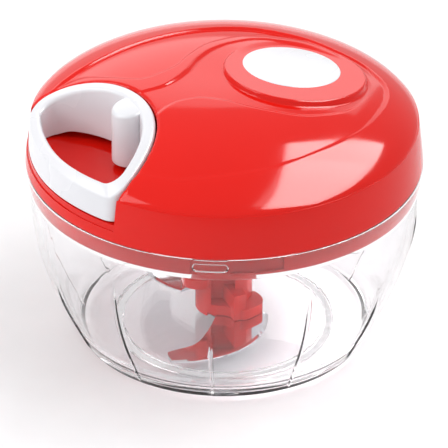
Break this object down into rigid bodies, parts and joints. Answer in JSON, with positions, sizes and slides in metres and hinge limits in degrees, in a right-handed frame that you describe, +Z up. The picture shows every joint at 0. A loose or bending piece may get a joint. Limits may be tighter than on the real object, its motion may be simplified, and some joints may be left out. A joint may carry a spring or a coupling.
{
  "type": "pull-cord food chopper",
  "caption": "Hand food chopper: clear bowl, red domed lid with a cord reel, white ring handle that is pulled out of the lid's side, and a central hub with curved blades.",
  "frame": {"origin": "on the ground under the bowl's axis, at the flat face of the foot ring", "axes": "+Z up along the bowl's and lid's axis; the ring handle is on the -Y side and is pulled towards -Y; +X completes the frame"},
  "size_m": [0.125, 0.125, 0.0923],
  "materials": {
    "clear_bowl": "clear moulded plastic, polished",
    "red_plastic": "glossy red moulded plastic",
    "white_plastic": "satin to glossy white moulded plastic",
    "natural_plastic": "plain natural-coloured moulded plastic",
    "blade_steel": "polished stainless steel, mirror bright",
    "steel": "bright plain steel",
    "spring_steel": "blued spring steel strip",
    "bronze": "sintered bronze, dull",
    "cord": "braided white nylon cord"
  },
  "bodies": {
    "bowl": {"bowl": "clear_bowl", "bowl_pin": "steel"},
    "cutter": {"blade_hub": "red_plastic", "lower_blade": "blade_steel", "middle_blade": "blade_steel", "upper_blade": "blade_steel"},
    "lid": {"lid_cover": "red_plastic", "lid_disc": "white_plastic", "lid_base": "red_plastic", "lid_screw_1": "steel", "lid_screw_2": "steel", "lid_screw_3": "steel", "lid_screw_4": "steel", "reel_axle": "steel", "drive_bush": "bronze", "spring_cover": "natural_plastic", "cord_eyelet": "steel", "recoil_spring": "spring_steel", "cord_lead": "cord"},
    "reel": {"cord_reel": "natural_plastic", "reel_cap": "natural_plastic", "drive_shaft": "steel", "cord_winding": "cord"},
    "handle": {"handle_ring": "white_plastic", "cord_knot": "cord"}
  },
  "joints": [
    {"name": "lid_lift", "type": "slide", "parent": "bowl", "child": "lid", "axis": [0, 0, 1], "range_m": [0, 0.06]},
    {"name": "handle_pull", "type": "slide", "parent": "lid", "child": "handle", "axis": [0, -1, 0], "range_m": [0, 0.36], "stiffness_N_per_m": 20, "springref_m": -0.15, "deforming": ["cord_lead"]},
    {"name": "reel_spin", "type": "hinge", "parent": "lid", "child": "reel", "pos_m": [0, 0, 0.07], "axis": [0, 0, 1], "range_deg": [0, 1806], "deforming": ["recoil_spring"]},
    {"name": "blade_spin", "type": "hinge", "parent": "bowl", "child": "cutter", "pos_m": [0, 0, 0.02], "axis": [0, 0, 1], "range_deg": [0, 1806]}
  ],
  "couplings": [
    {"joint": "reel_spin", "follows": "handle_pull", "rad_per_m": 87.5},
    {"joint": "blade_spin", "follows": "handle_pull", "rad_per_m": 87.5}
  ]
}
